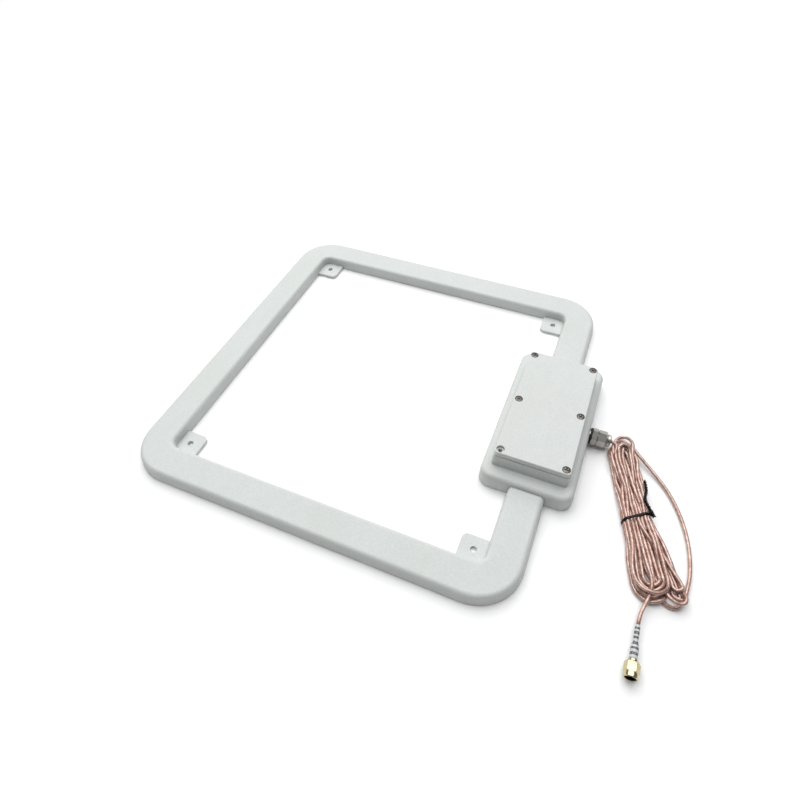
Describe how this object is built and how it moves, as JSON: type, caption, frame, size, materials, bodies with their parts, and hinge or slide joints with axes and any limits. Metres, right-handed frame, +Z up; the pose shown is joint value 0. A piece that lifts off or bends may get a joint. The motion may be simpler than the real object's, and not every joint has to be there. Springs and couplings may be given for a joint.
{
  "type": "loop antenna for a security gate",
  "caption": "Flat square loop antenna with corner fixing tabs, a screwed tuning box and a tied coaxial lead with a threaded plug.",
  "frame": {"origin": "centre of the four fixing-tab holes, on the plane the antenna rests on", "axes": "+Z up out of the flat face that rests, +X towards the tuning box, +Y along the box's length"},
  "size_m": [0.399, 0.3116, 0.0264],
  "materials": {
    "white_plastic": "fine matte texture",
    "box_plastic": "fine matte texture",
    "clip_plastic": "smooth",
    "screw_steel": "nickel plated",
    "copper": "bare copper",
    "black_rubber": "matte",
    "silicone_grey": "soft silicone",
    "circuit_board": "solder mask",
    "ceramic": "glazed",
    "rotor_silver": "silver plated",
    "ferrite": "sintered",
    "capacitor_resin": "dipped resin",
    "resistor_coat": "lacquer",
    "gland_nickel": "satin nickel",
    "coax_jacket": "clear brown film over braid",
    "tie_plastic": "satin",
    "sleeve_white": "heat-shrink",
    "plug_gold": "gold plated",
    "ptfe": "waxy"
  },
  "bodies": {
    "antenna": {"frame_top_shell": "white_plastic", "frame_bottom_cover": "white_plastic", "frame_screws": "screw_steel", "copper_loop": "copper", "strip_clips": "clip_plastic", "box_base": "white_plastic", "base_plate": "white_plastic", "base_screws": "screw_steel", "box_body": "box_plastic", "body_screws": "screw_steel", "lid_gasket": "silicone_grey", "box_lid": "box_plastic", "lid_screws": "screw_steel", "tuning_board": "circuit_board", "board_screws": "screw_steel", "terminal_bolts": "screw_steel", "terminal_nuts": "screw_steel", "trimmer_stator_tune": "ceramic", "trimmer_stator_match": "ceramic", "balun_core": "ferrite", "balun_winding": "copper", "fixed_capacitors": "capacitor_resin", "damping_resistor": "resistor_coat", "gland_washer": "black_rubber", "gland_body": "gland_nickel", "gland_seal": "black_rubber", "gland_nut": "gland_nickel", "coax_inside": "coax_jacket", "coax_lead_in": "coax_jacket", "coax_hank": "coax_jacket", "coax_side_turn": "coax_jacket", "coax_tail": "coax_jacket", "twist_tie": "tie_plastic", "marker_sleeve": "sleeve_white", "crimp_ferrule": "plug_gold", "coax_end": "coax_jacket", "plug_body": "plug_gold", "plug_insulator": "ptfe", "plug_pin": "plug_gold", "snap_ring": "plug_gold"},
    "coupling_nut": {"coupling_nut": "plug_gold"},
    "tune_rotor": {"trimmer_rotor_tune": "rotor_silver"},
    "match_rotor": {"trimmer_rotor_match": "rotor_silver"}
  },
  "joints": [
    {"name": "coupling_nut_spin", "type": "hinge", "parent": "antenna", "child": "coupling_nut", "pos_m": [0.2205, -0.1539, 0.0047], "axis": [0, -1, 0], "continuous": true},
    {"name": "tune_trimmer_turn", "type": "hinge", "parent": "antenna", "child": "tune_rotor", "pos_m": [0.1268, 0.014, 0.0221], "axis": [0, 0, 1], "continuous": true},
    {"name": "match_trimmer_turn", "type": "hinge", "parent": "antenna", "child": "match_rotor", "pos_m": [0.1268, -0.006, 0.0221], "axis": [0, 0, 1], "continuous": true}
  ]
}
